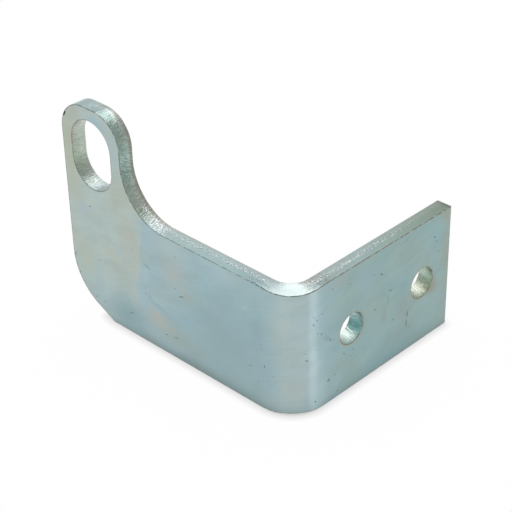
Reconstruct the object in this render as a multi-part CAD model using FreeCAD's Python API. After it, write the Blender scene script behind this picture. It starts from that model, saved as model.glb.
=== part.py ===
import FreeCAD, Part
import math
import os

# Angle bracket folded from one cut blank: a long arm with a slotted ear, and a short flange with two holes.
# Sizes are in millimetres and angles in degrees, +Z is up as the bracket stands on its lower edge.
# The origin is the middle of the two holes, on the flange's outer face, which looks along +X.

# Blank
thickness = 5.0
plate_height = 40.0
arm_length = 89.1          # from the flange's outer face to the arm's end
flange_length = 65.7       # from the arm's outer face to the flange's end
edge_round = 0.15          # the plated edges are barely broken

# Fold
bend_radius = 5.5          # inside the bend
fold_fade = 3.75           # the pulled edges run out this far past the bend
edge_draw = 0.7            # the outside of the bend is drawn in by this at each edge
edge_bulge = 0.2           # and the inside is squeezed out by this

# Ear at the arm's end
ear_width = 24.1
ear_rise = 29.5            # above the arm's upper edge
ear_corner_radius = 9.5
ear_blend_radius = 16.0    # from the ear's side into the arm's upper edge

# Slot in the ear
slot_width = 16.0
slot_length = 21.8
slot_drop = 14.8           # from the ear's top to the slot's middle

# Cut-off corner below the ear
corner_run = 16.5          # along the lower edge
corner_slope = 25.5        # up from the lower edge
corner_radius = 17.0       # from the slope into the arm's end

# Holes in the flange
hole_diameter = 9.5
hole_spacing = 30.4
hole_end_margin = 12.0     # from the outer hole's middle to the flange's end
hole_chamfer = 0.15        # both rims are deburred

# Derived places, counted from where the two outer faces would meet, at the lower edge
outer_radius = bend_radius + thickness
bend_half = outer_radius * math.pi / 4
fold_half = bend_half + fold_fade
fold_end = outer_radius + fold_fade
ear_top = plate_height + ear_rise
ear_side = ear_width - arm_length
slot_middle_x = ear_width / 2 - arm_length
slot_middle_z = ear_top - slot_drop
corner_rise = corner_run * math.tan(math.radians(corner_slope))
hole_height = plate_height / 2
hole_middle = flange_length - hole_end_margin - hole_spacing / 2
origin = FreeCAD.Vector(0, hole_middle, hole_height)


def corner_reach(before, corner, after, radius):
    """Length that a corner's rounding takes from each of its two sides."""
    opening = (before - corner).getAngle(after - corner)
    return radius / math.tan(opening / 2)


def rounded_face(corners, plane_point):
    """Flat face whose corners (u, v, radius) are rounded as far as their sides allow."""
    points = [plane_point(u, v) for u, v, radius in corners]
    count = len(points)
    reaches = []
    for i, (u, v, radius) in enumerate(corners):
        reaches.append(corner_reach(points[i - 1], points[i], points[(i + 1) % count], radius))
    edges = []
    starts = []
    ends = []
    for i in range(count):
        reach = reaches[i]
        for j in (i - 1, (i + 1) % count):
            side = points[i].distanceToPoint(points[j])
            if reaches[i] + reaches[j] > side:
                reach = min(reach, side * reaches[i] / (reaches[i] + reaches[j]))
        toward_before = (points[i - 1] - points[i]).normalize()
        toward_after = (points[(i + 1) % count] - points[i]).normalize()
        starts.append(points[i] + toward_before * reach)
        ends.append(points[i] + toward_after * reach)
        if reach > 0:
            half = toward_before.getAngle(toward_after) / 2
            radius = reach * math.tan(half)
            inward = (toward_before + toward_after).normalize()
            crown = points[i] + inward * (radius / math.sin(half) - radius)
            edges.append(Part.Arc(starts[i], crown, ends[i]).toShape())
    for i in range(count):
        following = starts[(i + 1) % count]
        if ends[i].distanceToPoint(following) > 1e-6:
            edges.append(Part.makeLine(ends[i], following))
    return Part.Face(Part.Wire(Part.__sortEdges__(edges)))


def on_arm(x, z):
    """Point on the arm's outer face."""
    return FreeCAD.Vector(x, 0, z)


def on_flange(y, z):
    """Point on the flange's outer face."""
    return FreeCAD.Vector(0, y, z)


def make_arm():
    """Long leg with its ear, up to where the fold starts."""
    outline = [
        (-fold_end, 0, 0),
        (corner_run - arm_length, 0, 0),
        (-arm_length, corner_rise, corner_radius),
        (-arm_length, ear_top, ear_corner_radius),
        (ear_side, ear_top, ear_corner_radius),
        (ear_side, plate_height, ear_blend_radius),
        (-fold_end, plate_height, 0),
    ]
    return rounded_face(outline, on_arm).extrude(FreeCAD.Vector(0, thickness, 0))


def make_slot():
    """Round-ended slot, cut right through the ear."""
    low = slot_middle_z - slot_length / 2
    high = slot_middle_z + slot_length / 2
    left = slot_middle_x - slot_width / 2
    right = slot_middle_x + slot_width / 2
    end_radius = slot_width / 2
    outline = [(x, z, end_radius) for x, z in ((left, low), (right, low), (right, high), (left, high))]
    return rounded_face(outline, on_arm).extrude(FreeCAD.Vector(0, thickness, 0))


def make_flange():
    """Short leg, from where the fold ends."""
    outline = [
        (fold_end, 0, 0),
        (flange_length, 0, 0),
        (flange_length, plate_height, 0),
        (fold_end, plate_height, 0),
    ]
    return rounded_face(outline, on_flange).extrude(FreeCAD.Vector(-thickness, 0, 0))


def make_hole(middle):
    """Round hole across the flange at half its height, with both rims chamfered."""
    radius = hole_diameter / 2
    rim = radius + hole_chamfer
    wall_end = thickness - hole_chamfer
    section = ((0, 0), (0, rim), (hole_chamfer, radius), (wall_end, radius), (thickness, rim), (thickness, 0))
    points = [FreeCAD.Vector(-depth, middle + reach, hole_height) for depth, reach in section]
    profile = Part.Face(Part.makePolygon(points + points[:1]))
    return profile.revolve(on_flange(middle, hole_height), FreeCAD.Vector(1, 0, 0), 360)


def fold_point(run, depth, height):
    """Point at a run along the outer face from the bend's middle, and at a depth into the plate."""
    turn = max(-math.pi / 4, min(math.pi / 4, run / outer_radius))
    straight = run - turn * outer_radius
    heading = math.pi / 4 + turn
    radius = outer_radius - depth
    x = radius * math.sin(heading) + straight * math.cos(heading) - outer_radius
    y = outer_radius - radius * math.cos(heading) + straight * math.sin(heading)
    return FreeCAD.Vector(x, y, height)


def edge_swell(run, depth):
    """How far the bend pushes the plate's edge outwards, negative where it pulls it in."""
    share = math.cos(math.pi * run / (2 * fold_half)) ** 2
    return share * ((edge_draw + edge_bulge) * depth / thickness - edge_draw)


def fold_trim(side):
    """Tool over the fold's upper edge (side 1) or under its lower edge (side -1)."""
    overrun = bend_radius / 3          # past both broad sides, short of the bend's centre
    steps = 12                         # from the bend's middle to either end of the fold
    runs = [fold_half * step / steps for step in range(-steps, steps + 1)]
    rails = []
    for depth in (-overrun, thickness + overrun):
        points = []
        for run in runs:
            height = plate_height / 2 + side * (plate_height / 2 + edge_swell(run, depth))
            points.append(fold_point(run, depth, height))
        rail = Part.BSplineCurve()
        rail.interpolate(Points=points, Parameters=runs)
        rails.append(rail.toShape())
    surface = Part.makeRuledSurface(rails[0], rails[1])
    return surface.extrude(FreeCAD.Vector(0, 0, side * plate_height / 4))


def make_fold():
    """Bend with a short straight stretch on each side, its edges drawn in outside and squeezed out inside."""
    spare = edge_bulge + edge_draw
    corners = []
    for run in (-fold_half, -bend_half, 0, bend_half, fold_half):
        corners.append([fold_point(run, depth, -spare) for depth in (0, thickness)])
    outer = [pair[0] for pair in corners]
    inner = [pair[1] for pair in corners]
    edges = [Part.makeLine(outer[0], inner[0]), Part.makeLine(outer[4], inner[4])]
    for row in (outer, inner):
        edges.append(Part.makeLine(row[0], row[1]))
        edges.append(Part.Arc(row[1], row[2], row[3]).toShape())
        edges.append(Part.makeLine(row[3], row[4]))
    profile = Part.Face(Part.Wire(Part.__sortEdges__(edges)))
    fold = profile.extrude(FreeCAD.Vector(0, 0, plate_height + 2 * spare))
    return fold.cut([fold_trim(1), fold_trim(-1)])


def through_plate(point):
    """Direction through the plate's thickness at a point."""
    if point.x < -outer_radius:
        return FreeCAD.Vector(0, 1, 0)
    if point.y > outer_radius:
        return FreeCAD.Vector(1, 0, 0)
    return FreeCAD.Vector(point.x + outer_radius, point.y - outer_radius, 0).normalize()


def is_skin(face):
    """True for the plate's two broad sides, false for its cut edges."""
    u_low, u_high, v_low, v_high = face.ParameterRange
    u = (u_low + u_high) / 2
    v = (v_low + v_high) / 2
    across = through_plate(face.valueAt(u, v))
    return abs(face.normalAt(u, v).dot(across)) > 0.9


def rim_edges(body):
    """Edges where a broad side meets a cut edge."""
    skins = [face for face in body.Faces if is_skin(face)]
    sides = [face for face in body.Faces if not is_skin(face)]
    side_edges = [edge for face in sides for edge in face.Edges]
    rims = []
    for edge in (edge for face in skins for edge in face.Edges):
        if any(edge.isSame(other) for other in side_edges):
            rims.append(edge)
    return rims


def make_bracket():
    """The whole bracket in one piece."""
    body = make_arm().fuse([make_fold(), make_flange()]).cut(make_slot()).removeSplitter()
    body = body.makeFillet(edge_round, rim_edges(body))
    for side in (-0.5, 0.5):
        body = body.cut(make_hole(hole_middle + side * hole_spacing))
    body.translate(origin * -1)
    return body.Solids[0]


os.makedirs("parts", exist_ok=True)
bracket = make_bracket()
print("bracket", bracket.ShapeType, bracket.isValid(), len(bracket.Solids), round(bracket.Volume, 1))
bracket.exportStep("parts/bracket.step")
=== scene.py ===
# Zinc-plated angle bracket on a white studio floor.
# Lengths are written in millimetres and turned to metres with mm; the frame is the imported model's own.
import bpy, bmesh, math
from mathutils import Euler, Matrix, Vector
from mathutils.geometry import delaunay_2d_cdt


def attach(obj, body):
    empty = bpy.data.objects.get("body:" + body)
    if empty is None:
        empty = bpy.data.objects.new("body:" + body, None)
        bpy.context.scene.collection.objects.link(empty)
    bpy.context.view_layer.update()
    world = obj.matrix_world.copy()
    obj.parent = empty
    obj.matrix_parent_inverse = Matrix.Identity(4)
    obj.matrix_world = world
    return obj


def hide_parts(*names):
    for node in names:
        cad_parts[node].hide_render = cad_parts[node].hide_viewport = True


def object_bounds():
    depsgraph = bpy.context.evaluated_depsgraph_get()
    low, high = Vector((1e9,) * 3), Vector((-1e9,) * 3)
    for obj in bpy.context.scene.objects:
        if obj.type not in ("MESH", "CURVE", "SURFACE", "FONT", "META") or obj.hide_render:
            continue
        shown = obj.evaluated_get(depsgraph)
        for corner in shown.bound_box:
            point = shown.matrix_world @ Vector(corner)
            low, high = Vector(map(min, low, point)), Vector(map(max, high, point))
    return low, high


mm = 0.001

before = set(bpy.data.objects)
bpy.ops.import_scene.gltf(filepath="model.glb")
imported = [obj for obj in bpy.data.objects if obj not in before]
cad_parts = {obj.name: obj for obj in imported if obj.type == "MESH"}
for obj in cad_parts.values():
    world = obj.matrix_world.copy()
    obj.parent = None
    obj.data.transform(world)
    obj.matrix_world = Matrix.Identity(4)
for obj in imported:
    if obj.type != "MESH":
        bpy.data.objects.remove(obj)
cadBox = [list(corner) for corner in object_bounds()]
low, high = Vector(cadBox[0]), Vector(cadBox[1])
print("frame loaded, box in mm:", [round(v / mm, 1) for v in high - low])


# Small helpers

def srgb(text):
    # hex colour as seen on screen, turned to linear
    parts = [int(text[i:i + 2], 16) / 255 for i in (1, 3, 5)]
    linear = [v / 12.92 if v <= 0.04045 else ((v + 0.055) / 1.055) ** 2.4 for v in parts]
    return (*linear, 1.0)


def addNode(tree, kind, inputs=None, **settings):
    # adds a node, sets it up and links or fills its inputs
    node = tree.nodes.new(kind)
    for name, value in settings.items():
        setattr(node, name, value)
    for socket, value in (inputs or {}).items():
        if isinstance(value, bpy.types.NodeSocket):
            tree.links.new(value, node.inputs[socket])
        else:
            node.inputs[socket].default_value = value
    return node


def newMaterial(name):
    material = bpy.data.materials.new(name)
    material.use_nodes = True
    material.node_tree.nodes.clear()
    return material, material.node_tree


def setRamp(node, stops):
    # stops are (position, hex tone or grey level)
    ramp = node.color_ramp
    while len(ramp.elements) < len(stops):
        ramp.elements.new(1.0)
    for element, (position, value) in zip(ramp.elements, stops):
        element.position = position
        element.color = srgb(value) if isinstance(value, str) else (value, value, value, 1.0)


# The plate's shape

plate = {
    "thickness": 5.0 * mm,
    "height": 40.0 * mm,
    "insideBend": 5.5 * mm,
    "bendFade": 3.75 * mm,       # the pulled edges run out this far past the bend
    "edgeDraw": 0.7 * mm,        # outside of the bend drawn in at both edges
    "edgeBulge": 0.185 * mm,     # inside of the bend squeezed out, a hair less than in the solid
    "swellReach": 7.0 * mm,      # both fade out this far into the broad faces
    "edgeRound": 0.15 * mm,
    "rimShadeBand": 0.12 * mm,        # width of the flat band beside the broken edge that carries the rim's painted shade
    "earWidth": 24.1 * mm,
    "earRise": 29.5 * mm,
    "earCorner": 9.5 * mm,
    "earBlend": 16.0 * mm,
    "slotWidth": 16.0 * mm,
    "slotLength": 21.8 * mm,
    "slotDrop": 14.8 * mm,
    "cornerRun": 16.5 * mm,
    "cornerSlope": 25.5,         # degrees
    "cornerRadius": 17.0 * mm,
    "holeDiameter": 9.5 * mm,
    "holeSpacing": 30.4 * mm,
    "holeChamfer": 0.15 * mm,
    "arcStep": 0.45 * mm,        # spacing of points along round edges
    "edgeStep": 0.9 * mm,        # and along straight ones
    "skinStep": 2.0 * mm,        # spacing inside the broad faces
    "bendStep": 0.9 * mm,        # and across the bend
}

outerRadius = plate["insideBend"] + plate["thickness"]
bendHalf = outerRadius * math.pi / 4
foldHalf = bendHalf + plate["bendFade"]
baseHeight = high.z - plate["height"] - plate["earRise"]       # the lower edge, away from the bend
armFace = low.y                                # outer face of the arm
flangeFace = high.x                            # outer face of the flange


def armRun(x):
    # run along the outer face, counted from the bend's middle, of a place on the arm
    return x - flangeFace + outerRadius - bendHalf


def flangeRun(y):
    return y - armFace - outerRadius + bendHalf


def plateSwell(run, height, depth):
    # how far the fold has pushed the plate up or down here: full at its edges, none inside
    if abs(run) >= foldHalf:
        return 0.0
    share = math.cos(math.pi * run / (2 * foldHalf)) ** 2
    push = share * ((plate["edgeDraw"] + plate["edgeBulge"]) * depth / plate["thickness"] - plate["edgeDraw"])
    above = max(0.0, 1 - (plate["height"] - height) / plate["swellReach"]) ** 2
    below = max(0.0, 1 - height / plate["swellReach"]) ** 2
    return push * (above - below)


def foldPoint(run, height, depth):
    # place in the row frame of a point of the flat plate
    turn = max(-math.pi / 4, min(math.pi / 4, run / outerRadius))
    straight = run - turn * outerRadius
    heading = math.pi / 4 + turn
    radius = outerRadius - depth
    x = flangeFace - outerRadius + radius * math.sin(heading) + straight * math.cos(heading)
    y = armFace + outerRadius - radius * math.cos(heading) + straight * math.sin(heading)
    return Vector((x, y, baseHeight + height + plateSwell(run, height, depth)))


def fillStraight(loop, target):
    # points along the straight side that ends at target
    start = loop[-1][0]
    side = target - start
    if side.length < 1e-7:
        return
    along = side.normalized()
    steps = max(1, round(side.length / plate["edgeStep"]))
    for k in range(1, steps):
        loop.append((start + side * k / steps, Vector((along.y, -along.x))))


def cornerArc(before, corner, after, radius):
    # points with outward directions round one corner of an anticlockwise outline
    toBefore, toAfter = (before - corner).normalized(), (after - corner).normalized()
    outBefore = Vector((-toBefore.y, toBefore.x))
    outAfter = Vector((toAfter.y, -toAfter.x))
    if radius == 0:
        return [(corner, (outBefore + outAfter) / (1 + outBefore.dot(outAfter)))]
    half = toBefore.angle(toAfter) / 2
    centre = corner + (toBefore + toAfter).normalized() * radius / math.sin(half)
    sense = 1 if outBefore.cross(outAfter) > 0 else -1
    turn = math.pi - 2 * half
    steps = max(4, round(turn * radius / plate["arcStep"]))
    arc = []
    for k in range(steps + 1):
        angle = sense * turn * k / steps
        out = Vector((outBefore.x * math.cos(angle) - outBefore.y * math.sin(angle),
                      outBefore.x * math.sin(angle) + outBefore.y * math.cos(angle)))
        arc.append((centre + out * radius * sense, out))
    return arc


def sampleLoop(corners):
    # closed outline from (run, height, radius) corners: points with their outward directions
    places = [Vector(corner[:2]) for corner in corners]
    loop = []
    for i, corner in enumerate(corners):
        arc = cornerArc(places[i - 1], places[i], places[(i + 1) % len(places)], corner[2])
        if loop:
            fillStraight(loop, arc[0][0])
        loop.extend(arc)
    fillStraight(loop, loop[0][0])
    return [entry for i, entry in enumerate(loop) if (entry[0] - loop[i - 1][0]).length > 1e-7]


def plateOutline():
    top = high.z - baseHeight
    armEnd = armRun(low.x)
    earSide = armRun(low.x + plate["earWidth"])
    flangeEnd = flangeRun(high.y)
    cornerRise = plate["cornerRun"] * math.tan(math.radians(plate["cornerSlope"]))
    return sampleLoop([
        (armRun(low.x + plate["cornerRun"]), 0, 0),
        (flangeEnd, 0, 0),
        (flangeEnd, plate["height"], 0),
        (earSide, plate["height"], plate["earBlend"]),
        (earSide, top, plate["earCorner"]),
        (armEnd, top, plate["earCorner"]),
        (armEnd, cornerRise, plate["cornerRadius"]),
    ])


def slotLoop():
    middle = armRun(low.x + plate["earWidth"] / 2)
    rise = high.z - baseHeight - plate["slotDrop"]
    halfWide, halfLong = plate["slotWidth"] / 2, plate["slotLength"] / 2
    return sampleLoop([
        (middle - halfWide, rise - halfLong, halfWide),
        (middle + halfWide, rise - halfLong, halfWide),
        (middle + halfWide, rise + halfLong, halfWide),
        (middle - halfWide, rise + halfLong, halfWide),
    ])


def holeMiddle(side):
    # the two holes lie evenly about the frame's origin
    return Vector((flangeRun(side * plate["holeSpacing"] / 2), -baseHeight))


def holeLoop(side):
    radius = plate["holeDiameter"] / 2
    steps = round(2 * math.pi * radius / plate["arcStep"])
    angles = [2 * math.pi * k / steps for k in range(steps)]
    outs = [Vector((math.cos(angle), math.sin(angle))) for angle in angles]
    return [(holeMiddle(side) + out * radius, out) for out in outs]


def insideLoop(place, points):
    hit = False
    for i, a in enumerate(points):
        b = points[i - 1]
        if (a.y > place.y) != (b.y > place.y):
            if place.x < (b.x - a.x) * (place.y - a.y) / (b.y - a.y) + a.x:
                hit = not hit
    return hit


def onSkin(place, loops):
    # inside the first loop and outside the others
    return insideLoop(place, loops[0]) and not any(insideLoop(place, points) for points in loops[1:])


def skinGrid(loops):
    # inner points of the broad faces, closer together across the bend
    step = plate["skinStep"]
    run = min(p.x for p in loops[0]) + step
    runs = []
    while run < max(p.x for p in loops[0]):
        runs.append(run)
        run += step if abs(run) > foldHalf + step else plate["bendStep"]
    places = []
    for run in runs:
        for row in range(1, int((high.z - baseHeight) / step) + 1):
            place = Vector((run, row * step))
            if onSkin(place, loops):
                if min((place - p).length for points in loops for p in points) > 0.5 * step:
                    places.append(place)
    return places


def rimRows(size, steps):
    # (inset, depth) rows from the outer broad face over its broken edge, down the wall and out again
    thickness = plate["thickness"]
    angles = [math.pi / 2 * k / steps for k in range(steps + 1)]
    brokenEdge = [(size * (1 - math.sin(angle)), size * (1 - math.cos(angle))) for angle in angles]
    brokenEdge = [(size + plate["rimShadeBand"], 0.0)] + brokenEdge
    wall = [(0.0, size + (thickness - 2 * size) * k / 4) for k in range(1, 4)]
    return brokenEdge + wall + [(inset, thickness - depth) for inset, depth in reversed(brokenEdge)]


# The plate's map is in millimetres, and each outline and the inside have their own stretch of it
mapShift = {"outline": 500, "inside": 200}

# The outer face is shared out between materials that differ only in the marks near them: mm along the plate.
# The inside is plain.
stretches = {
    "Arm": (-100.0, -32.0),
    "Bend": (-32.0, 15.0),
    "Flange": (15.0, 70.0),
    "Inside": None,
}


def stretchAt(run, side):
    if side == 1:
        return list(stretches).index("Inside")
    return [span is not None and span[0] <= run < span[1] for span in stretches.values()].index(True)


def buildPlate():
    # outlines with: 1 for the outside or -1 for an opening, the size of the broken edge and its steps
    rims = [(plateOutline(), 1, plate["edgeRound"], 3), (slotLoop(), -1, plate["edgeRound"], 3)]
    rims += [(holeLoop(side), -1, plate["holeChamfer"], 1) for side in (-1, 1)]
    mesh = bmesh.new()
    placeLayer = mesh.loops.layers.uv.new("platePlace")      # in millimetres
    flat = {}

    def addVertex(place, depth):
        vertex = mesh.verts.new(foldPoint(place.x, place.y, depth))
        flat[vertex] = (place.x / mm, place.y / mm, depth / mm)
        return vertex

    insetLoops, frontRows, backRows = [], [], []
    for number, (loop, sense, size, steps) in enumerate(rims):
        rows = rimRows(size, steps)
        rings = []
        for inset, depth in rows:
            rings.append([addVertex(place - out * sense * inset, depth) for place, out in loop])
        around = [mapShift["outline"] * number]
        for i in range(len(loop)):
            around.append(around[-1] + (loop[(i + 1) % len(loop)][0] - loop[i][0]).length / mm)
        for step, (upper, lower) in enumerate(zip(rings, rings[1:])):
            onRim = step <= steps or step >= len(rings) - 2 - steps
            for i in range(len(loop)):
                j = (i + 1) % len(loop)
                face = mesh.faces.new((upper[i], upper[j], lower[j], lower[i]))
                face.material_index = len(stretches) + (1 if onRim else 0)
                for corner, along in zip(face.loops, (around[i], around[i + 1], around[i + 1], around[i])):
                    corner[placeLayer].uv = (along, flat[corner.vert][2])
        insetLoops.append([place - out * sense * rows[0][0] for place, out in loop])
        frontRows.append(rings[0])
        backRows.append(rings[-1])

    # the broad faces: one triangulation, used on both sides
    inner = skinGrid(insetLoops)
    coords, edges = [], []
    for points in insetLoops:
        start = len(coords)
        coords += points
        edges += [(start + i, start + (i + 1) % len(points)) for i in range(len(points))]
    coords += inner
    made, _, triangles, sources, _, _ = delaunay_2d_cdt(coords, edges, [], 0, 1e-9)
    kept = [t for t in triangles if onSkin(sum((made[i] for i in t), Vector((0, 0))) / 3, insetLoops)]
    for depth, rows, side in ((0.0, frontRows, 0), (plate["thickness"], backRows, 1)):
        corners = [vertex for row in rows for vertex in row] + [addVertex(place, depth) for place in inner]
        for triangle in kept:
            face = mesh.faces.new([corners[sources[i][0]] for i in triangle])
            face.material_index = stretchAt(sum(made[i].x for i in triangle) / 3 / mm, side)
            for corner in face.loops:
                run, height, _ = flat[corner.vert]
                corner[placeLayer].uv = (run, height + mapShift["inside"] * side)
    bmesh.ops.recalc_face_normals(mesh, faces=mesh.faces)
    data = bpy.data.meshes.new("bracketPlate")
    mesh.to_mesh(data)
    mesh.free()
    data.shade_smooth()
    data.set_sharp_from_angle(angle=math.radians(40))
    piece = bpy.data.objects.new("bracketPlate", data)
    bpy.context.scene.collection.objects.link(piece)
    weighted = piece.modifiers.new("faceWeightedNormals", "WEIGHTED_NORMAL")
    weighted.keep_sharp = True
    return piece


# Materials

sheet = {
    # tone along the outside: mm from the bend's middle and the tone there
    "along": [(-60.0, "#abc1c6"), (-24.0, "#a1bbc1"),                                   # blue arm
              (-11.0, "#a0b9bf"), (-7.0, "#a6bdc1"), (-4.6, "#afc2c4"),                 # paler bend: painted reflection
              (-2.4, "#b5c6c6"), (4.0, "#b2c4c7"),
              (4.8, "#bccfd4"), (5.8, "#bed3d6"), (6.8, "#b6ccd0"), (7.9, "#a9c1c6"),   # painted highlight band down the bend
              (10.0, "#a1b9bc"), (19.0, "#9ab3b3")],                                    # greener flange
    "inside": [(-86.0, "#aac0c3"), (-30.0, "#a2bac0"), (0.0, "#a9bfc2"), (30.0, "#9cb4b5"),
               (55.0, "#9db1ae")],
    "warm": "#b7c4bf",           # the ear's end of the arm
    "warmEnd": (-55.3, 0.14),    # its border at the upper edge, in mm, and how far that leans per mm down
    "warmEdge": 0.6,             # half the width of that border
    "warmFade": (6.0, 24.0),     # heights between which the warm tone grows to its full strength
    "halo": "#a3a48c",           # brown ring round each hole
    "haloReach": (0.3, 1.3),     # it fades out between these distances from the hole
    "speck": "#6d7f7d",
    # the patterns: sizes in mm, length and width where there are two, and turns in degrees
    "wanderSize": 9.0,
    "cloudSize": 14.0,
    "patchSize": (10.0, 5.0),
    "patchTurn": 20,
    "rollSize": (11.0, 0.8),
    "rollTurn": 17,
    "grainSize": 0.7,
    "speckyPatch": 6.0,
    "waveHeight": 0.05 * mm,
    "grainHeight": 0.012 * mm,
    "roughness": 0.36,
    "roughnessDrift": 0.05,
}
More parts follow.
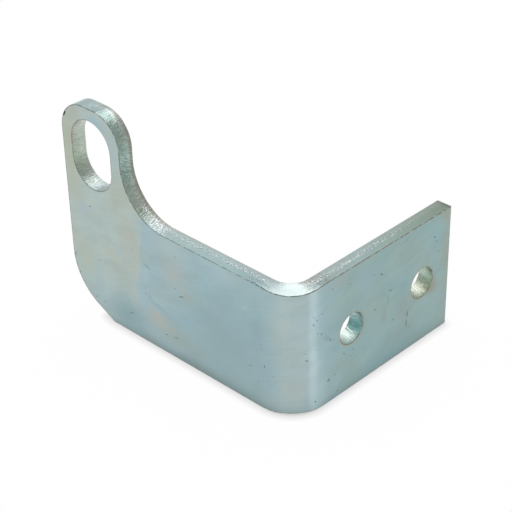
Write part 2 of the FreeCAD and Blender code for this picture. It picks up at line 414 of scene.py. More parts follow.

# Stains, rubbed marks, painted shade and painted light on the outer face: run, height, half length, half
# width in mm, turn in degrees, tone, strength and softness
marks = {
    # broad tones, among them painted light along the arm's top and painted shade along its middle and foot
    # painted light: the top of the arm lighter
    "armTopPaintedLight": (-23.0, 38.5, 15.0, 7.0, 0, "#b7cccf", 0.45, 1.0),
    "armUpperPaintedLight": (-44.0, 37.5, 13.0, 7.0, 0, "#b8c6c4", 0.5, 1.0),
    "armRose": (-43.0, 29.0, 9.0, 8.5, 75, "#b2bab5", 0.7, 1.0),
    "armDeep": (-31.0, 21.0, 10.0, 4.5, 15, "#93afb6", 0.5, 1.0),
    # painted shade over the middle and along the foot of the arm
    "armShade": (-21.0, 14.0, 28.0, 22.0, 0, "#94acb2", 0.7, 1.0),
    "armFootShade": (-33.0, -1.5, 48.0, 6.5, 0, "#7f9391", 0.8, 1.0),
    "footStraw": (-45.0, 8.0, 17.0, 6.5, 0, "#9fada5", 0.6, 1.0),
    # painted shade along the arm's foot, the last one also tinted teal
    "footShade": (-56.5, 1.0, 6.0, 4.0, 0, "#8da19f", 0.6, 1.0),
    "footTealShade": (-63.5, 5.0, 12.0, 11.0, 10, "#8ca9ae", 0.95, 1.0),
    "lowStraw": (-80.5, 17.0, 11.0, 6.0, 90, "#b6c0b1", 0.65, 1.0),
    "warmBlush": (-62.0, 31.5, 9.0, 3.8, 86, "#bcbeb5", 0.65, 1.0),
    "lavenderPatch": (-80.8, 35.6, 4.6, 3.4, 0, "#abbccb", 0.6, 1.0),
    "earTopBlue": (-72.0, 65.6, 5.5, 3.4, -20, "#a1bfca", 0.8, 0.9),
    "earGrey": (-81.5, 66.0, 4.5, 3.0, 35, "#b4b5ae", 0.5, 1.0),
    "earStraw": (-84.0, 52.0, 26.0, 6.5, 90, "#b5bcaa", 0.85, 1.0),
    "earCool": (-66.0, 60.0, 11.0, 4.5, 90, "#a8bfc2", 0.6, 1.0),
    "rosePatch": (-50.4, 10.0, 9.0, 4.5, -10, "#b3b9b3", 0.6, 1.0),
    "bendStraw": (0.0, 8.5, 6.0, 7.5, 0, "#b4bcb1", 0.35, 1.0),
    "bendFoot": (8.2, 5.0, 5.5, 11.0, 0, "#b4cac8", 0.35, 1.0),
    # painted shade on the bend
    "bendDusk": (8.0, 23.0, 6.0, 4.5, 90, "#95adb2", 0.4, 1.0),
    "bendShade": (-11.0, 23.0, 9.0, 3.0, 90, "#93aab0", 0.4, 1.0),
    "topWarm": (15.3, 38.0, 6.5, 3.6, 0, "#a4aca6", 0.45, 1.0),
    "flangeBlue": (28.0, 33.5, 8.0, 5.0, 0, "#97b0b9", 0.5, 1.0),
    # painted shade along the flange's foot
    "flangeShade": (36.0, 2.0, 24.0, 7.0, 3, "#84a5aa", 0.7, 1.0),
    "flangeGrey": (43.0, 16.5, 7.0, 5.5, 90, "#96a29c", 0.55, 1.0),
    # painted shade low on the flange
    "flangeFootShade": (42.0, 7.0, 9.0, 5.0, 0, "#8b9fa0", 0.45, 1.0),
    "flangeEnd": (62.0, 24.0, 26.0, 3.6, 90, "#9ca79d", 0.65, 1.0),
    "cornerTan": (61.5, 38.5, 5.0, 4.0, 0, "#a3a290", 0.55, 1.0),
    # marks on the arm
    "tanSpot": (-38.2, 23.8, 3.0, 2.0, -30, "#b3b0a4", 0.55, 1.0),
    "tanDash": (-40.4, 22.6, 1.3, 0.31, 14, "#5f6c62", 0.73, 0.6),
    "tanDashNext": (-42.8, 24.3, 0.7, 0.26, 10, "#7f8c86", 0.6, 0.6),
    "ringMark": (-42.3, 34.8, 0.7, 0.44, 30, "#8da3a6", 0.52, 0.6),
    "blueSmudge": (-54.2, 26.7, 2.6, 0.9, -10, "#90a8b4", 0.7, 0.8),
    "blueSmudgeLow": (-49.8, 14.6, 7.5, 1.3, -14, "#93adb6", 0.6, 0.9),
    "blueSpot": (-53.7, 16.6, 1.3, 1.1, 0, "#93b3c6", 0.8, 0.9),
    "blueSpotTick": (-55.3, 17.0, 0.35, 0.79, 0, "#7b9296", 0.52, 0.7),
    "roseSpot": (-51.3, 11.6, 3.6, 2.2, -15, "#bab8b1", 0.5, 1.0),
    "earNick": (-85.2, 64.7, 1.4, 0.5, 60, "#34372f", 0.95, 0.5),
    "earDot": (-77.4, 37.2, 0.5, 0.35, 20, "#55645d", 0.77, 0.5),
    "warmDashes": (-62.3, 32.7, 1.2, 0.22, 20, "#98a094", 0.52, 0.7),
    "warmTick": (-60.2, 29.6, 0.9, 0.26, 85, "#929588", 0.56, 0.7),
    "warmDashLow": (-67.8, 28.4, 1.2, 0.18, 20, "#99a69e", 0.43, 0.7),
    "footDash": (-62.3, 7.0, 1.2, 0.35, 28, "#66797a", 0.6, 0.7),
    "slopeSpeck": (-74.0, 5.6, 0.6, 0.35, 30, "#6f7d76", 0.6, 0.6),
    "sideSpeck": (-86.0, 17.6, 0.9, 0.31, 80, "#5d6558", 0.69, 0.6),
    "sideSpeckMid": (-85.8, 14.4, 0.7, 0.3, 78, "#6a6f62", 0.6, 0.6),
    "sideSpeckLow": (-84.7, 11.4, 0.9, 0.3, 62, "#6a6f62", 0.6, 0.6),
    "slopeSpeckHigh": (-77.6, 5.9, 0.7, 0.25, 20, "#6f7d76", 0.6, 0.6),
    "footSpeck": (-47.4, 6.3, 0.8, 0.26, 30, "#66746f", 0.65, 0.6),
    "footSpeckNext": (-43.3, 7.1, 1.6, 0.31, 22, "#72827e", 0.56, 0.7),
    "armDash": (-26.3, 17.0, 1.0, 0.22, 25, "#87a0a5", 0.52, 0.7),
    "armPale": (-15.4, 30.8, 2.2, 1.1, 30, "#adc3c2", 0.6, 1.0),
    "armCross": (-9.8, 21.0, 0.5, 0.22, 35, "#6b8086", 0.6, 0.6),
    "armCrossLow": (-9.4, 19.8, 0.5, 0.22, -35, "#6b8086", 0.6, 0.6),
    "armSpeck": (-13.8, 12.2, 1.0, 0.26, 30, "#6f8284", 0.6, 0.6),
    "armTick": (-8.5, 14.5, 0.28, 0.7, -8, "#4f6468", 0.73, 0.6),
    "armSpeckFar": (-11.0, 8.0, 0.6, 0.26, 30, "#7c9194", 0.6, 0.6),
    # marks on the bend
    "bendLines": (-5.6, 12.4, 0.8, 0.22, 12, "#8a9994", 0.56, 0.6),
    "bendDot": (3.4, 20.3, 0.35, 0.26, 0, "#6b7d82", 0.6, 0.6),
    "bendDash": (3.8, 17.9, 0.8, 0.25, -18, "#4d5c5c", 0.73, 0.6),
    "bendHook": (5.9, 28.8, 0.6, 0.4, -40, "#7b9297", 0.65, 0.5),
    "bendHair": (5.9, 31.2, 1.1, 0.16, -55, "#86a0a4", 0.6, 0.6),
    "bendSpeckLow": (6.5, 3.0, 0.3, 0.48, 0, "#46564f", 0.77, 0.5),
    "rubbedLine": (7.0, 29.8, 0.8, 0.19, -50, "#5f7377", 0.69, 0.6),
    "rubbedSpeck": (7.3, 25.5, 0.6, 0.25, -40, "#6d8388", 0.6, 0.6),
    "rubbedTick": (8.7, 24.6, 0.35, 0.62, 15, "#647a80", 0.69, 0.7),
    "rubbedHair": (7.4, 20.2, 1.2, 0.16, -20, "#869ba0", 0.52, 0.6),
    "rubbedSmear": (9.0, 31.0, 1.0, 0.35, -45, "#7f949a", 0.5, 0.8),
    # marks on the flange
    "crowdSmear": (11.0, 22.0, 2.6, 1.1, -35, "#879b99", 0.55, 1.0),
    "crowdDash": (12.3, 20.8, 0.9, 0.4, -50, "#647877", 0.65, 0.7),
    "crowdHair": (13.9, 20.2, 1.3, 0.18, -20, "#70827f", 0.52, 0.6),
    "lowSmudge": (11.7, 7.6, 1.0, 0.8, 20, "#66746e", 0.75, 0.9),
    "topSpeck": (13.0, 36.9, 0.8, 0.26, -50, "#6f817e", 0.6, 0.6),
    "topSmudge": (20.0, 35.0, 0.9, 0.44, -40, "#82948f", 0.52, 0.7),
    "holeDash": (18.0, 13.1, 0.8, 0.26, -42, "#62736e", 0.65, 0.6),
    "holeHair": (20.5, 11.1, 1.7, 0.13, -38, "#7b8e8c", 0.52, 0.6),
    "holeDot": (21.6, 12.9, 0.5, 0.31, -30, "#63746f", 0.65, 0.6),
    "topDash": (29.9, 33.1, 1.1, 0.22, -18, "#71827f", 0.6, 0.6),
    "topDashNext": (33.3, 31.7, 0.9, 0.33, -30, "#51645f", 0.73, 0.6),
    "midDot": (30.8, 21.2, 0.55, 0.35, -40, "#596b68", 0.69, 0.6),
    "midSmudge": (34.6, 24.4, 0.8, 0.5, 80, "#869894", 0.5, 0.9),
    "midDash": (37.4, 24.4, 1.3, 0.26, -18, "#63736f", 0.65, 0.6),
    "midStain": (36.3, 22.0, 2.4, 0.9, 80, "#8c9f9c", 0.55, 1.0),
    "midStainLow": (34.9, 17.3, 3.0, 1.4, 80, "#8fa09b", 0.6, 1.0),
    "lowDots": (38.9, 13.7, 0.7, 0.35, -40, "#6b7d79", 0.65, 0.6),
    "ringMarkFar": (41.5, 34.4, 0.9, 0.44, 0, "#8ba0a3", 0.47, 0.6),
    "smear": (44.9, 9.4, 1.9, 0.5, 86, "#586b66", 0.75, 0.9),
    "smearHigh": (45.2, 12.4, 1.6, 0.45, 80, "#5a6c68", 0.8, 0.8),
    "smearTail": (46.3, 7.5, 1.5, 0.25, -50, "#758788", 0.6, 0.8),
    "footDot": (15.4, 1.9, 0.6, 0.3, -20, "#5d6f6a", 0.6, 0.6),
    "lowSmudgeNext": (14.3, 8.1, 1.0, 0.45, -30, "#84958f", 0.55, 0.8),
    "endDashFar": (58.6, 27.4, 0.8, 0.3, -35, "#7b8c88", 0.5, 0.7),
    "holeStain": (55.6, 17.0, 5.0, 4.2, -50, "#97917d", 0.75, 1.0),
    "endDash": (56.4, 33.0, 0.8, 0.33, -35, "#5b6c68", 0.69, 0.6),
    "endDashLow": (57.3, 31.2, 0.7, 0.28, -30, "#637470", 0.65, 0.6),
}


def rampAlong(tree, value, stops, start=0):
    # ramp whose stops are places in millimetres, counted from start
    first, last = stops[0][0], stops[-1][0]
    share = addNode(tree, "ShaderNodeMapRange", {"Value": value, "From Min": start + first,
                    "From Max": start + last}).outputs[0]
    ramp = addNode(tree, "ShaderNodeValToRGB", {"Fac": share})
    setRamp(ramp, [((spot - first) / (last - first), tone) for spot, tone in stops])
    return ramp.outputs[0]


def drawnNoise(tree, place, size, turn, detail, distortion=0.0):
    # noise drawn out to a length and width in mm and turned by some degrees
    laid = addNode(tree, "ShaderNodeMapping", {"Vector": place, "Scale": (*size, 1),
                   "Rotation": (0, 0, math.radians(turn))}, vector_type="TEXTURE").outputs[0]
    return addNode(tree, "ShaderNodeTexNoise", {"Vector": laid, "Scale": 1.0, "Detail": detail,
                   "Distortion": distortion}).outputs["Fac"]


def sheetTone(tree, run, height, wander, outside):
    # tone along the plate: warm arm end, cool middle, paler bend with a painted reflection and a painted
    # highlight band, greener flange
    wavy = addNode(tree, "ShaderNodeMath", {0: wander, 1: 0.25, 2: run}, operation="MULTIPLY_ADD").outputs[0]
    tone = rampAlong(tree, wavy, sheet["along" if outside else "inside"])
    if not outside:
        return tone
    # the warm part ends in a fairly sharp line that fades out below
    top, lean = sheet["warmEnd"]
    foot = top - lean * plate["height"] / mm
    border = addNode(tree, "ShaderNodeMath", {0: height, 1: lean, 2: foot}, operation="MULTIPLY_ADD")
    past = addNode(tree, "ShaderNodeMath", {0: border.outputs[0], 1: run}, operation="SUBTRACT").outputs[0]
    past = addNode(tree, "ShaderNodeMath", {0: wander, 1: 0.3, 2: past}, operation="MULTIPLY_ADD").outputs[0]
    isWarm = addNode(tree, "ShaderNodeMapRange", {"Value": past, "From Min": -sheet["warmEdge"],
                     "From Max": sheet["warmEdge"]}, interpolation_type="SMOOTHSTEP").outputs[0]
    isHigh = addNode(tree, "ShaderNodeMapRange", {"Value": height, "From Min": sheet["warmFade"][0],
                     "From Max": sheet["warmFade"][1], "To Min": 0.25},
                     interpolation_type="SMOOTHSTEP").outputs[0]
    amount = addNode(tree, "ShaderNodeMath", {0: isWarm, 1: isHigh}, operation="MULTIPLY").outputs[0]
    return addNode(tree, "ShaderNodeMix", {"Factor": amount, 6: tone, 7: srgb(sheet["warm"])},
                   data_type="RGBA").outputs[2]


def addMarks(tree, place, tone, span):
    # stains, rubbed marks, painted shade and painted light, one soft oval each, of those that reach into this
    # stretch
    for run, height, halfLong, halfWide, turn, colour, strength, soft in marks.values():
        reach = max(halfLong, halfWide) + 2.0      # with some to spare, in mm
        if span is None or run + reach < span[0] or run - reach > span[1]:
            continue
        local = addNode(tree, "ShaderNodeMapping", {"Vector": place, "Location": (run, height, 0),
                        "Rotation": (0, 0, math.radians(turn)), "Scale": (halfLong, halfWide, 1)},
                        vector_type="TEXTURE").outputs[0]
        away = addNode(tree, "ShaderNodeVectorMath", {0: local}, operation="LENGTH").outputs["Value"]
        amount = addNode(tree, "ShaderNodeMapRange", {"Value": away, "From Min": 1.0, "From Max": 1.0 - soft,
                         "To Max": strength}, interpolation_type="SMOOTHSTEP").outputs[0]
        tone = addNode(tree, "ShaderNodeMix", {"Factor": amount, 6: tone, 7: srgb(colour)},
                       data_type="RGBA").outputs[2]
    return tone


def addHoleHalos(tree, place, tone):
    # brown ring close round each hole
    full, end = sheet["haloReach"]
    for side in (-1, 1):
        middle = holeMiddle(side) / mm
        offset = addNode(tree, "ShaderNodeVectorMath", {0: place, 1: (middle.x, middle.y, 0)},
                         operation="SUBTRACT").outputs[0]
        away = addNode(tree, "ShaderNodeVectorMath", {0: offset}, operation="LENGTH").outputs["Value"]
        radius = plate["holeDiameter"] / 2 / mm
        amount = addNode(tree, "ShaderNodeMapRange", {"Value": away, "From Min": radius + end,
                         "From Max": radius + full, "To Max": 0.4},
                         interpolation_type="SMOOTHSTEP").outputs[0]
        tone = addNode(tree, "ShaderNodeMix", {"Factor": amount, 6: tone, 7: srgb(sheet["halo"])},
                       data_type="RGBA").outputs[2]
    return tone


def zincSheet(stretch):
    # bright zinc plate with a thin blue passivate: metal, satin, its tone drifting from blue to straw
    material, tree = newMaterial("zincPlatedSheet" + stretch)
    place = addNode(tree, "ShaderNodeUVMap", uv_map="platePlace").outputs[0]
    split = addNode(tree, "ShaderNodeSeparateXYZ", {"Vector": place})
    run, height = split.outputs[0], split.outputs[1]

    # slow wander bends the borders between tones by a few tenths of a mm
    slow = addNode(tree, "ShaderNodeTexNoise", {"Vector": place, "Scale": 1 / sheet["wanderSize"],
                   "Detail": 3.0})
    wander = addNode(tree, "ShaderNodeMapRange", {"Value": slow.outputs["Fac"], "From Min": 0.3,
                     "From Max": 0.7, "To Min": -0.9, "To Max": 0.9}).outputs[0]
    tone = sheetTone(tree, run, height, wander, stretches[stretch] is not None)

    # clouds a centimetre or two across, warm against blue
    clouds = addNode(tree, "ShaderNodeTexNoise", {"Vector": place, "Scale": 1 / sheet["cloudSize"],
                     "Detail": 4.0, "Roughness": 0.55, "Distortion": 0.6})
    ramp = addNode(tree, "ShaderNodeValToRGB", {"Fac": clouds.outputs["Fac"]})
    setRamp(ramp, [(0.3, "#eef8fb"), (0.5, "#fbfdfd"), (0.7, "#fffef5")])
    tone = addNode(tree, "ShaderNodeMix", {"Factor": 1.0, 6: tone, 7: ramp.outputs[0]},
                   data_type="RGBA", blend_type="MULTIPLY").outputs[2]

    # rolling lines climb to the right, under a millimetre wide, with the zinc's grain between them
    rolled = addNode(tree, "ShaderNodeMapping", {"Vector": place, "Scale": (*sheet["rollSize"], 1),
                     "Rotation": (0, 0, math.radians(sheet["rollTurn"]))}, vector_type="TEXTURE").outputs[0]
    lines = addNode(tree, "ShaderNodeTexNoise", {"Vector": rolled, "Scale": 1.0, "Detail": 4.0})
    lines = lines.outputs["Fac"]
    grain = addNode(tree, "ShaderNodeTexNoise", {"Vector": place, "Scale": 1 / sheet["grainSize"],
                    "Detail": 3.0}).outputs["Fac"]
    both = addNode(tree, "ShaderNodeMath", {0: lines, 1: grain}, operation="ADD").outputs[0]
    shade = addNode(tree, "ShaderNodeMapRange", {"Value": both, "From Min": 0.7, "From Max": 1.3,
                    "To Min": 0.97, "To Max": 1.03}).outputs[0]
    patchy = drawnNoise(tree, place, sheet["patchSize"], sheet["patchTurn"], 3.0, 0.4)
    patchShade = addNode(tree, "ShaderNodeMapRange", {"Value": patchy, "From Min": 0.3, "From Max": 0.7,
                         "To Min": 0.95, "To Max": 1.05}).outputs[0]
    shade = addNode(tree, "ShaderNodeMath", {0: shade, 1: patchShade}, operation="MULTIPLY").outputs[0]

    # painted shade: darker towards the lower edge, as the floor's contact shadow shows in the plate's
    # reflection
    heightShare = addNode(tree, "ShaderNodeMapRange", {"Value": height, "From Min": 0.0, "From Max": 38.0})
    lowerEdgeShade = addNode(tree, "ShaderNodeFloatCurve", {"Value": heightShare.outputs[0]})
    for spot, (x, y) in zip(lowerEdgeShade.mapping.curves[0].points, ((0.0, 0.82), (1.0, 1.0))):
        spot.location = (x, y)
    lowerEdgeShade.mapping.curves[0].points.new(0.2, 0.94)
    lowerEdgeShade.mapping.curves[0].points.new(0.6, 0.98)
    lowerEdgeShade.mapping.update()
    shade = addNode(tree, "ShaderNodeMath", {0: shade, 1: lowerEdgeShade.outputs[0]}, operation="MULTIPLY").outputs[0]
    tone = addNode(tree, "ShaderNodeVectorMath", {0: tone, "Scale": shade}, operation="SCALE").outputs[0]
    tone = addHoleHalos(tree, place, addMarks(tree, place, tone, stretches[stretch]))

    # specks of dirt drawn out along the rolling, a tenth or two of a mm wide
    cells = addNode(tree, "ShaderNodeTexVoronoi", {"Vector": rolled, "Scale": 0.55, "Randomness": 1.0})
    isSpeck = addNode(tree, "ShaderNodeMapRange", {"Value": cells.outputs["Distance"], "From Min": 0.16,
                      "From Max": 0.06}).outputs[0]
    sparse = addNode(tree, "ShaderNodeTexNoise", {"Vector": place, "Scale": 1 / sheet["speckyPatch"],
                     "Detail": 2.0}).outputs["Fac"]
    isThere = addNode(tree, "ShaderNodeMapRange", {"Value": sparse, "From Min": 0.58, "From Max": 0.64,
                      "To Max": 0.5}).outputs[0]
    amount = addNode(tree, "ShaderNodeMath", {0: isSpeck, 1: isThere}, operation="MULTIPLY").outputs[0]
    tone = addNode(tree, "ShaderNodeMix", {"Factor": amount, 6: tone, 7: srgb(sheet["speck"])},
                   data_type="RGBA").outputs[2]

    # satin: the gloss comes and goes with the clouds, and the surface rolls by hundredths of a mm
    gloss = addNode(tree, "ShaderNodeMapRange", {"Value": clouds.outputs["Fac"], "From Min": 0.3,
                    "From Max": 0.7, "To Min": sheet["roughness"] - sheet["roughnessDrift"],
                    "To Max": sheet["roughness"] + sheet["roughnessDrift"]}).outputs[0]
    bump = addNode(tree, "ShaderNodeBump", {"Height": slow.outputs["Fac"], "Distance": sheet["waveHeight"]})
    for relief in (lines, grain):
        bump = addNode(tree, "ShaderNodeBump", {"Height": relief, "Distance": sheet["grainHeight"],
                       "Normal": bump.outputs[0]})
    shader = addNode(tree, "ShaderNodeBsdfPrincipled", {"Base Color": tone, "Metallic": 1.0,
                     "Roughness": gloss, "Normal": bump.outputs[0]})
    addNode(tree, "ShaderNodeOutputMaterial", {"Surface": shader.outputs[0]})
    return material


cutEdge = {
    # tones round each outline: mm along it and the tone there; lighter stops paint the lamp's highlights on
    # the ear, the curve and the bend, and darker stops beside them paint the shade that ends those highlights
    "outline": [(0.0, "#a2b8ae"), (172.8, "#a2b8ae"), (173.7, "#434c45"), (174.9, "#9caa9b"),
                (190.0, "#a2b8ae"), (210.0, "#aac2c1"),                                          # flange
                (222.0, "#acc0bd"), (228.0, "#a3b1b0"), (232.5, "#b4c0be"), (236.5, "#a8b4b3"),  # bend
                (243.0, "#a7b4b4"), (249.0, "#a9c2c5"), (262.0, "#b5cfd1"), (282.0, "#bed5d4"),  # arm
                (288.0, "#bac5c6"), (293.0, "#95a299"), (298.0, "#adb9ad"), (305.0, "#a0b5ab"),  # curve
                (311.0, "#afc6be"), (316.0, "#97ab9e"), (320.0, "#a3b8b0"), (322.6, "#8fa39a"),  # ear
                (325.0, "#b0c6c2"), (327.0, "#a8bdbb"), (331.0, "#c2d9db")],
    "slot": [(0.0, "#b9c8b6"), (4.5, "#a9b7a8"), (7.0, "#a0aca3"), (10.0, "#aab6b2"), (13.0, "#cfdfdf"),
             (17.0, "#cbdada"), (46.0, "#c0c8c6"), (52.5, "#b9c3b7"), (61.5, "#bac9b8")],
    "innerHole": [(0.0, "#a1c5c3"), (1.5, "#b4ced2"), (19.0, "#bcc1ba"), (25.3, "#b6cac5"),
                  (26.6, "#b2e4de"), (29.8, "#aedad5")],
    "outerHole": [(0.0, "#b1c7b9"), (19.0, "#bab8b0"), (23.0, "#c2cabe"), (25.5, "#a8b09a"),
                  (28.0, "#cfe0c4"), (29.8, "#c2d8c4")],
    "tornHalf": "#dfe2de",       # the back half, where the plate tore
    "lip": "#c0b2a4",            # tan stain along the slot's left rim
    "fleck": "#ffffff",          # torn crystals that catch the light
    "pit": "#5f7774",            # painted shade in the pits beside them, also used for the nicks
    "back": "#a59d90",           # dull tan strip along the back rim
    "earMark": "#2f302b",        # dark dent at the ear's left corner
    "earMarkAt": (343.1, 0.0, 0),    # mm round the outline, and depth
    "earMarkReach": (1.6, 0.8, 1),   # along the edge and down the wall
    # how strongly the wall is scored across, along the same millimetres
    "scored": [(174.0, 0.25), (224.0, 0.25), (227.0, 0.9), (232.0, 0.6), (235.0, 0.2), (247.0, 0.4),
               (251.0, 0.2), (283.0, 0.4), (286.0, 1.5), (292.0, 1.4), (298.0, 0.9), (305.0, 1.9),
               (313.0, 1.9), (317.0, 0.7), (326.0, 1.1), (334.0, 0.3)],
    "scoredOpenings": 0.9,       # and how much more so in the slot and holes
    # where the scoring leans: on the flange's half of the bend and by the ear's side
    "leans": [(224.0, 0.0), (226.0, 1.0), (233.0, 1.0), (236.0, 0.0), (304.0, 0.0), (306.0, 1.0),
              (313.0, 1.0), (315.0, 0.0)],
    # where dark nicks scatter over the front half: at both ends of the bend
    "nicked": [(223.0, 0.0), (226.0, 1.0), (232.0, 0.8), (234.0, 0.15), (241.0, 0.15), (245.0, 0.8),
               (251.0, 1.0), (254.0, 0.0)],
    # how thick the torn flecks lie
    "torn": [(174.0, 0.0), (186.0, 0.25), (205.0, 0.9), (226.0, 0.8), (229.0, 1.0), (232.0, 0.15),
             (244.0, 0.15), (247.0, 1.0), (284.0, 0.9), (286.0, 0.8), (300.0, 0.45), (306.0, 0.3),
             (312.0, 0.45), (320.0, 0.7), (326.0, 0.6), (334.0, 0.45)],
    # how dull the last millimetre at the back is
    "dull": [(224.0, 0.0), (227.0, 0.5), (232.5, 0.5), (235.0, 0.0), (245.0, 0.0), (247.0, 0.3),
             (284.0, 0.3), (287.0, 0.7), (297.0, 0.7), (322.0, 0.6), (328.0, 0.6), (333.0, 0.0)],
    # where the tan stain lies, in mm round the slot
    "tanned": [(46.0, 0.0), (49.0, 1.0), (59.0, 0.7), (61.0, 0.0)],
    # the patterns: sizes in mm along the wall and across it, and turns in degrees
    "scoreSize": (0.28, 2.6),
    "scoreTurn": -6,
    "leanSize": (0.3, 2.2),
    "leanTurn": 30,
    "crumbSize": (0.3, 0.65),
    "crumbTurn": -28,
    "clumpSize": 1.8,
    "wanderSize": 6.0,
    "tornDepth": 3.4,            # mm from the outer face to the line of flecks
    "scoreHeight": 0.12 * mm,
    "fleckHeight": 0.06 * mm,
    "roughness": 0.3,
}


def cutEdgeTone(tree, around):
    tone = rampAlong(tree, around, cutEdge["outline"])
    for number, name in ((1, "slot"), (2, "innerHole"), (3, "outerHole")):
        start = mapShift["outline"] * number
        here = addNode(tree, "ShaderNodeMath", {0: around, 1: start - 1}, operation="GREATER_THAN").outputs[0]
        tone = addNode(tree, "ShaderNodeMix", {"Factor": here, 6: tone,
                       7: rampAlong(tree, around, cutEdge[name], start)}, data_type="RGBA").outputs[2]
    return tone


def addEarMark(tree, place, tone):
    local = addNode(tree, "ShaderNodeMapping", {"Vector": place, "Location": cutEdge["earMarkAt"],
                    "Scale": cutEdge["earMarkReach"]}, vector_type="TEXTURE").outputs[0]
    away = addNode(tree, "ShaderNodeVectorMath", {0: local}, operation="LENGTH").outputs["Value"]
    amount = addNode(tree, "ShaderNodeMapRange", {"Value": away, "From Min": 1.0, "From Max": 0.5},
                     interpolation_type="SMOOTHSTEP").outputs[0]
    return addNode(tree, "ShaderNodeMix", {"Factor": amount, 6: tone, 7: srgb(cutEdge["earMark"])},
                   data_type="RGBA").outputs[2]


def zincCutEdge():
    # sheared plate under zinc: a smooth half, then striations across the thickness and torn flecks between
    material, tree = newMaterial("zincPlatedCutEdge")
    place = addNode(tree, "ShaderNodeUVMap", uv_map="platePlace").outputs[0]
    split = addNode(tree, "ShaderNodeSeparateXYZ", {"Vector": place})
    around, depth = split.outputs[0], split.outputs[1]
    striae = drawnNoise(tree, place, cutEdge["scoreSize"], cutEdge["scoreTurn"], 1.0)
    leaning = drawnNoise(tree, place, cutEdge["leanSize"], cutEdge["leanTurn"], 1.0)
    leans = rampAlong(tree, around, cutEdge["leans"])
    striae = addNode(tree, "ShaderNodeMix", {"Factor": leans, 2: striae, 3: leaning}).outputs[0]
    crumbs = drawnNoise(tree, place, cutEdge["crumbSize"], cutEdge["crumbTurn"], 2.0)
    slow = addNode(tree, "ShaderNodeTexNoise", {"Vector": place, "Scale": 1 / cutEdge["wanderSize"],
                   "Detail": 2.0}).outputs["Fac"]
    tone = cutEdgeTone(tree, around)

    # the torn half is a little paler, and a tan stain follows the slot's left rim
    half = addNode(tree, "ShaderNodeMapRange", {"Value": depth, "From Min": 2.4, "From Max": 3.6,
                   "To Max": 0.16}).outputs[0]
    tone = addNode(tree, "ShaderNodeMix", {"Factor": half, 6: tone, 7: srgb(cutEdge["tornHalf"])},
                   data_type="RGBA").outputs[2]
    besideRim = addNode(tree, "ShaderNodeMapRange", {"Value": depth, "From Min": 1.3, "From Max": 0.3,
                        "To Max": 0.7}).outputs[0]
    onLeft = rampAlong(tree, around, cutEdge["tanned"], mapShift["outline"])
    onLeft = addNode(tree, "ShaderNodeMath", {0: besideRim, 1: onLeft}, operation="MULTIPLY").outputs[0]
    tone = addNode(tree, "ShaderNodeMix", {"Factor": onLeft, 6: tone, 7: srgb(cutEdge["lip"])},
                   data_type="RGBA").outputs[2]
    # the last millimetre at the back of the ear, its curve and the bend is dull and tan
    besideBack = addNode(tree, "ShaderNodeMapRange", {"Value": depth, "From Min": 3.4,
                         "From Max": 4.3}).outputs[0]
    dull = addNode(tree, "ShaderNodeMath", {0: besideBack, 1: rampAlong(tree, around, cutEdge["dull"])},
                   operation="MULTIPLY").outputs[0]
    tone = addNode(tree, "ShaderNodeMix", {"Factor": dull, 6: tone, 7: srgb(cutEdge["back"])},
                   data_type="RGBA").outputs[2]
    tone = addEarMark(tree, place, tone)

    # torn flecks and pits keep to a wavering line just past halfway through
    wobble = addNode(tree, "ShaderNodeMath", {0: slow, 1: 1.2, 2: depth}, operation="MULTIPLY_ADD").outputs[0]
    away = addNode(tree, "ShaderNodeMath", {0: wobble, 1: -cutEdge["tornDepth"]}, operation="ADD").outputs[0]
    away = addNode(tree, "ShaderNodeMath", {0: away}, operation="ABSOLUTE").outputs[0]
    torn = addNode(tree, "ShaderNodeMapRange", {"Value": away, "From Min": 1.0, "From Max": 0.4}).outputs[0]
    clumps = addNode(tree, "ShaderNodeTexNoise", {"Vector": place, "Scale": 1 / cutEdge["clumpSize"],
                     "Detail": 1.0}).outputs["Fac"]
    clumps = addNode(tree, "ShaderNodeMapRange", {"Value": clumps, "From Min": 0.34,
                     "From Max": 0.5}).outputs[0]
    torn = addNode(tree, "ShaderNodeMath", {0: torn, 1: clumps}, operation="MULTIPLY").outputs[0]
    torn = addNode(tree, "ShaderNodeMath", {0: torn, 1: rampAlong(tree, around, cutEdge["torn"])},
                   operation="MULTIPLY").outputs[0]
    front = addNode(tree, "ShaderNodeMapRange", {"Value": depth, "From Min": 2.8, "From Max": 1.8}).outputs[0]
    nicked = addNode(tree, "ShaderNodeMath", {0: front, 1: rampAlong(tree, around, cutEdge["nicked"])},
                     operation="MULTIPLY").outputs[0]
    nicks = addNode(tree, "ShaderNodeMapRange", {"Value": crumbs, "From Min": 0.45, "From Max": 0.37,
                    "To Max": 0.85}).outputs[0]
    amount = addNode(tree, "ShaderNodeMath", {0: nicks, 1: nicked}, operation="MULTIPLY").outputs[0]
    tone = addNode(tree, "ShaderNodeMix", {"Factor": amount, 6: tone, 7: srgb(cutEdge["pit"])},
                   data_type="RGBA").outputs[2]
    # flecks where the crumbs stand highest, painted shade in the pits where they lie lowest
    for name, start, end, most in (("fleck", 0.53, 0.59, 0.95), ("pit", 0.45, 0.38, 0.65)):
        isHere = addNode(tree, "ShaderNodeMapRange", {"Value": crumbs, "From Min": start, "From Max": end,
                         "To Max": most}).outputs[0]
        amount = addNode(tree, "ShaderNodeMath", {0: isHere, 1: torn}, operation="MULTIPLY").outputs[0]
        tone = addNode(tree, "ShaderNodeMix", {"Factor": amount, 6: tone, 7: srgb(cutEdge[name])},
                       data_type="RGBA").outputs[2]
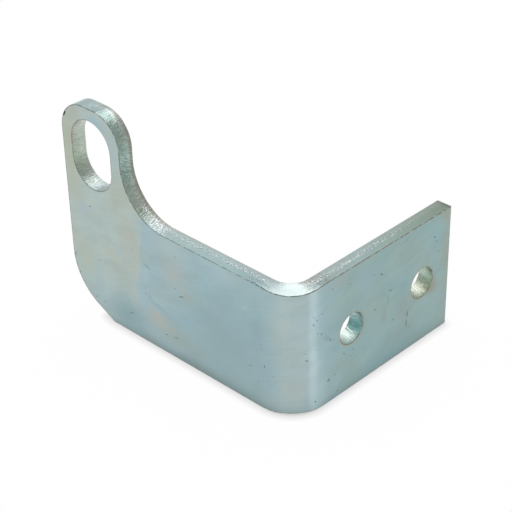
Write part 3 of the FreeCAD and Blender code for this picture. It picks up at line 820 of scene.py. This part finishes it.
    # the scoring shades the wall a little
    scored = rampAlong(tree, around, cutEdge["scored"])
    isOpening = addNode(tree, "ShaderNodeMath", {0: around, 1: mapShift["outline"] - 1},
                        operation="GREATER_THAN").outputs[0]
    scored = addNode(tree, "ShaderNodeMath", {0: isOpening, 1: cutEdge["scoredOpenings"], 2: scored},
                     operation="MULTIPLY_ADD").outputs[0]
    score = addNode(tree, "ShaderNodeMath", {0: striae, 1: -0.5}, operation="ADD").outputs[0]
    score = addNode(tree, "ShaderNodeMath", {0: score, 1: scored}, operation="MULTIPLY").outputs[0]
    shade = addNode(tree, "ShaderNodeMapRange", {"Value": score, "From Min": -0.25, "From Max": 0.25,
                    "To Min": 0.77, "To Max": 1.19}).outputs[0]
    tone = addNode(tree, "ShaderNodeVectorMath", {0: tone, "Scale": shade}, operation="SCALE").outputs[0]

    ridges = addNode(tree, "ShaderNodeBump", {"Height": score, "Distance": cutEdge["scoreHeight"]})
    relief = addNode(tree, "ShaderNodeMath", {0: crumbs, 1: -0.5}, operation="ADD").outputs[0]
    relief = addNode(tree, "ShaderNodeMath", {0: relief, 1: torn}, operation="MULTIPLY").outputs[0]
    rough = addNode(tree, "ShaderNodeBump", {"Height": relief, "Distance": cutEdge["fleckHeight"],
                    "Normal": ridges.outputs[0]})
    gloss = addNode(tree, "ShaderNodeMath", {0: dull, 1: 0.3, 2: cutEdge["roughness"]},
                    operation="MULTIPLY_ADD")
    shader = addNode(tree, "ShaderNodeBsdfPrincipled", {"Base Color": tone, "Metallic": 1.0,
                     "Roughness": gloss.outputs[0], "Normal": rough.outputs[0]})
    addNode(tree, "ShaderNodeOutputMaterial", {"Surface": shader.outputs[0]})
    return material


rim = {
    # tones round the plate's outline, their darkness painted shade, and how far the rubbing has polished them
    # away
    "outline": [(0.0, "#6f746c"), (50.0, "#666b66"), (62.0, "#4f5a54"), (74.0, "#59625c"),
                (79.0, "#93a19d"), (90.0, "#93a19d"), (100.0, "#8b8a7f"), (133.0, "#86735c"),
                (174.0, "#86735c"), (224.0, "#86735c"), (232.0, "#606860"), (249.0, "#5d6662"),
                (254.0, "#5f6c68"), (284.0, "#66726d"), (296.0, "#706f62"), (338.0, "#706f62"),
                (341.0, "#564b40"), (344.0, "#564b40")],
    "polish": [(174.0, 0.15), (248.0, 0.1), (254.0, 0.4), (282.0, 0.4), (292.0, 0.25), (338.0, 0.3),
               (341.0, 0.0), (344.0, 0.0)],
    "slot": "#8f9388",
    "hole": "#8b8878",
    "bright": "#a9bab8",
    "wornSize": 1.8,             # length of the rubbed stretches, in mm
    "roughness": 0.4,
}


def zincRimShadeAndWear():
    # broken edge: a dark line of painted shade, brown in places, bright where it is rubbed
    material, tree = newMaterial("zincRimShadeAndRubbing")
    place = addNode(tree, "ShaderNodeUVMap", uv_map="platePlace").outputs[0]
    split = addNode(tree, "ShaderNodeSeparateXYZ", {"Vector": place})
    around, depth = split.outputs[0], split.outputs[1]
    short = addNode(tree, "ShaderNodeTexNoise", {"Vector": place, "Scale": 1 / rim["wornSize"],
                    "Detail": 3.0}).outputs["Fac"]
    tone = rampAlong(tree, around, rim["outline"])
    for number, name in ((1, "slot"), (2, "hole")):
        here = addNode(tree, "ShaderNodeMath", {0: around, 1: mapShift["outline"] * number - 1},
                       operation="GREATER_THAN").outputs[0]
        tone = addNode(tree, "ShaderNodeMix", {"Factor": here, 6: tone, 7: srgb(rim[name])},
                       data_type="RGBA").outputs[2]
    worn = addNode(tree, "ShaderNodeMapRange", {"Value": short, "From Min": 0.45, "From Max": 0.62,
                   "To Max": 0.8}).outputs[0]
    worn = addNode(tree, "ShaderNodeMath", {0: worn, 1: rampAlong(tree, around, rim["polish"])},
                   operation="ADD").outputs[0]
    inner = addNode(tree, "ShaderNodeMapRange", {"Value": depth, "From Min": 1.0, "From Max": 4.0,
                    "To Min": 0.0, "To Max": 0.8}).outputs[0]
    amount = addNode(tree, "ShaderNodeMath", {0: worn, 1: inner}, operation="MAXIMUM").outputs[0]
    tone = addNode(tree, "ShaderNodeMix", {"Factor": amount, 6: tone, 7: srgb(rim["bright"])},
                   data_type="RGBA", clamp_factor=True).outputs[2]
    shader = addNode(tree, "ShaderNodeBsdfPrincipled", {"Base Color": addEarMark(tree, place, tone),
                     "Metallic": 1.0, "Roughness": rim["roughness"]})
    addNode(tree, "ShaderNodeOutputMaterial", {"Surface": shader.outputs[0]})
    return material


# Studio

stage = {
    "paper": "#f4f4f4",
    "whiteShare": 0.98,          # of the floor's light is its own, the rest shows the shadow
    "contactReach": 3 * mm,      # the close shadow along the foot: how wide it is
    "contactDepth": 0.5,         # and how dark
    "floorSize": 3000 * mm,
    "worldStrength": 0.6,
}

shot = {
    "place": (224.93 * mm, -280.01 * mm, 246.17 * mm),
    "turn": (57.34265, 1.08114, 43.88220),       # degrees
    "lens": 109.579,
}

# One large softbox hangs flat over the part: where its edges are, how high, and how bright it looks
softbox = {
    "left": -511 * mm,
    "right": 5 * mm,
    "front": -350 * mm,
    "back": 512 * mm,
    "height": 700 * mm,
    "brightness": 2.0,
}


def studioFloor():
    # white paper sweep, mostly giving its own light so that it comes out white
    material, tree = newMaterial("studioPaper")
    rays = addNode(tree, "ShaderNodeLightPath")
    seen = rays.outputs["Is Camera Ray"]
    for kind in ("Is Glossy Ray", "Is Transmission Ray"):
        seen = addNode(tree, "ShaderNodeMath", {0: seen, 1: rays.outputs[kind]},
                       operation="MAXIMUM").outputs[0]
    share = addNode(tree, "ShaderNodeMath", {0: seen, 1: stage["whiteShare"]}, operation="MULTIPLY")
    paper = addNode(tree, "ShaderNodeBsdfDiffuse", {"Color": srgb(stage["paper"])})
    near = addNode(tree, "ShaderNodeAmbientOcclusion", {"Distance": stage["contactReach"]}, samples=16)
    bright = addNode(tree, "ShaderNodeMapRange", {"Value": near.outputs["AO"],
                     "To Min": 1 - stage["contactDepth"]})
    white = addNode(tree, "ShaderNodeEmission", {"Color": (1, 1, 1, 1), "Strength": bright.outputs[0]})
    mix = addNode(tree, "ShaderNodeMixShader", {0: share.outputs[0], 1: paper.outputs[0],
                  2: white.outputs[0]})
    addNode(tree, "ShaderNodeOutputMaterial", {"Surface": mix.outputs[0]})
    return material


def buildFloor():
    size = stage["floorSize"] / 2
    data = bpy.data.meshes.new("studioFloor")
    data.from_pydata([(-size, -size, low.z), (size, -size, low.z), (size, size, low.z), (-size, size, low.z)],
                     [], [(0, 1, 2, 3)])
    floor = bpy.data.objects.new("studioFloor", data)
    data.materials.append(studioFloor())
    bpy.context.scene.collection.objects.link(floor)


def buildLights():
    world = bpy.data.worlds.new("studioWorld")
    world.use_nodes = True
    background = world.node_tree.nodes["Background"]
    background.inputs["Color"].default_value = (1, 1, 1, 1)
    background.inputs["Strength"].default_value = stage["worldStrength"]
    bpy.context.scene.world = world
    light = bpy.data.lights.new("topSoftbox", "AREA")
    light.shape = "RECTANGLE"
    light.size = softbox["right"] - softbox["left"]
    light.size_y = softbox["back"] - softbox["front"]
    light.energy = softbox["brightness"] * math.pi * light.size * light.size_y
    holder = bpy.data.objects.new("topSoftbox", light)
    holder.location = ((softbox["left"] + softbox["right"]) / 2, (softbox["front"] + softbox["back"]) / 2,
                       softbox["height"])
    bpy.context.scene.collection.objects.link(holder)


def buildCamera():
    data = bpy.data.cameras.new("studioCamera")
    data.lens = shot["lens"]
    data.sensor_width = 36
    camera = bpy.data.objects.new("studioCamera", data)
    camera.location = shot["place"]
    camera.rotation_euler = Euler([math.radians(angle) for angle in shot["turn"]], "XYZ")
    bpy.context.scene.collection.objects.link(camera)
    bpy.context.scene.camera = camera


buildCamera()
buildFloor()
buildLights()
print("camera and studio ready")

bracket = buildPlate()
for material in [zincSheet(stretch) for stretch in stretches] + [zincCutEdge(), zincRimShadeAndWear()]:
    bracket.data.materials.append(material)
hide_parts("bracket")
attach(bracket, "root")
print("plate built:", len(bracket.data.polygons), "faces")

bpy.context.scene.view_settings.view_transform = "Standard"
